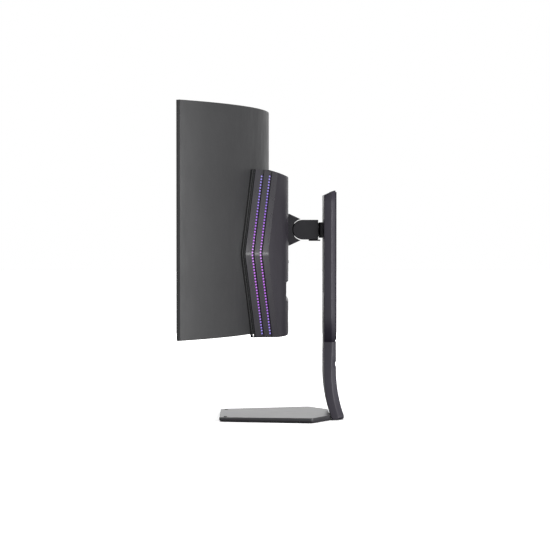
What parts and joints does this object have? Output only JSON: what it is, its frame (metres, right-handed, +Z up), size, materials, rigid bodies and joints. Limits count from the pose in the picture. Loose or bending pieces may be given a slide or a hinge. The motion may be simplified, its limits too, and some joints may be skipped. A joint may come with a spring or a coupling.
{
  "type": "curved ultrawide monitor",
  "caption": "Curved ultrawide monitor with chevron-shaped rear light bars, on a stand with height, swivel and tilt adjustment.",
  "frame": {"origin": "middle of the footprint, on the desk", "axes": "+X along the screen's width, to the right seen from behind; +Y towards the column at the rear, so the screen faces -Y; +Z up"},
  "size_m": [0.9926, 0.3404, 0.6529],
  "materials": {
    "case": "fine-textured dark grey moulding",
    "dark": "near-black moulding",
    "paint": "dark grey powder coat",
    "foot": "die casting with a dark grey coat",
    "satin": "die casting, satin near-black coat",
    "plate": "zinc-plated sheet",
    "spreader": "plain sheet",
    "glass": "dark coated screen",
    "lens": "violet-lit diffuser",
    "board": "circuit board",
    "rubber": "matt black",
    "acetal": "plain moulding"
  },
  "bodies": {
    "stand": {"base_plate": "paint", "rubber_foot_front": "rubber", "rubber_foot_rear": "rubber", "joining_plate": "plate", "thumb_screw": "plate", "column_foot": "foot", "cable_hole_liner": "dark", "column_shell": "paint", "column_top_cap": "paint", "column_rear_cover": "paint", "reel_axle": "plate", "spring_strip": "plate"},
    "spring_reel": {"spring_reel": "plate"},
    "carriage": {"carriage_block": "plate", "slot_plate": "satin", "swivel_collar": "satin", "swivel_tongue": "satin"},
    "arm": {"arm_body": "satin", "arm_cover_left": "satin", "arm_cover_right": "satin", "tilt_shaft": "plate", "tilt_washer_left": "acetal", "tilt_washer_right": "acetal", "swivel_pin": "plate", "swivel_bottom_cap": "satin"},
    "display": {"front_bezel": "dark", "display_panel": "glass", "heat_plate": "spreader", "back_cover": "case", "rear_cover": "case", "light_bar_left": "case", "light_bar_right": "case", "light_board_left": "board", "light_board_right": "board", "intake_grille_left": "dark", "intake_grille_right": "dark", "video_sockets": "plate", "usb_sockets": "plate", "power_socket": "dark", "chassis_plate": "plate", "main_board": "board", "power_board": "board", "panel_driver_board": "board", "mounting_plate": "plate", "head_plate": "plate", "head_shroud": "satin", "tilt_knuckle": "satin", "head_screw_1": "plate", "head_screw_2": "plate", "head_screw_3": "plate", "head_screw_4": "plate", "light_lens_front_left": "lens", "light_lens_front_right": "lens", "light_lens_rear_left": "lens", "light_lens_rear_right": "lens"},
    "release_button": {"release_button": "dark"},
    "stand_latch": {"stand_latch": "plate"},
    "stick_gimbal": {"stick_gimbal": "acetal"},
    "stick_cradle": {"stick_cradle": "acetal"},
    "stick_knob": {"stick_knob": "dark"}
  },
  "joints": [
    {"name": "height_slide", "type": "slide", "parent": "stand", "child": "carriage", "axis": [0, 0, 1], "range_m": [-0.11, 0], "deforming": ["spring_strip"]},
    {"name": "spring_reel_turn", "type": "hinge", "parent": "stand", "child": "spring_reel", "pos_m": [0, 0.14, 0.452], "axis": [1, 0, 0], "range_deg": [-720, 0]},
    {"name": "swivel", "type": "hinge", "parent": "carriage", "child": "arm", "pos_m": [0, 0.1087, 0.404], "axis": [0, 0, 1], "range_deg": [-10, 10]},
    {"name": "tilt", "type": "hinge", "parent": "arm", "child": "display", "pos_m": [0, 0.083, 0.404], "axis": [-1, 0, 0], "range_deg": [-5, 15]},
    {"name": "release_press", "type": "slide", "parent": "display", "child": "release_button", "axis": [0, -1, 0], "range_m": [0, 0.0016], "stiffness_N_per_m": 900, "springref_m": -0.0008},
    {"name": "latch_drop", "type": "slide", "parent": "display", "child": "stand_latch", "axis": [0, 0, -1], "range_m": [0, 0.0016]},
    {"name": "stick_side", "type": "hinge", "parent": "display", "child": "stick_gimbal", "pos_m": [0, 0.005, 0.2005], "axis": [0, 1, 0], "range_deg": [-5, 5], "stiffness_Nm_per_rad": 0.02},
    {"name": "stick_fore", "type": "hinge", "parent": "stick_gimbal", "child": "stick_cradle", "pos_m": [0, 0.005, 0.2005], "axis": [1, 0, 0], "range_deg": [-5, 5], "stiffness_Nm_per_rad": 0.02},
    {"name": "stick_press", "type": "slide", "parent": "stick_cradle", "child": "stick_knob", "axis": [0, 0, 1], "range_m": [0, 0.0006], "stiffness_N_per_m": 600, "springref_m": -0.0004}
  ],
  "couplings": [
    {"joint": "spring_reel_turn", "follows": "height_slide", "rad_per_m": 111.1},
    {"joint": "latch_drop", "follows": "release_press", "ratio": 1}
  ]
}
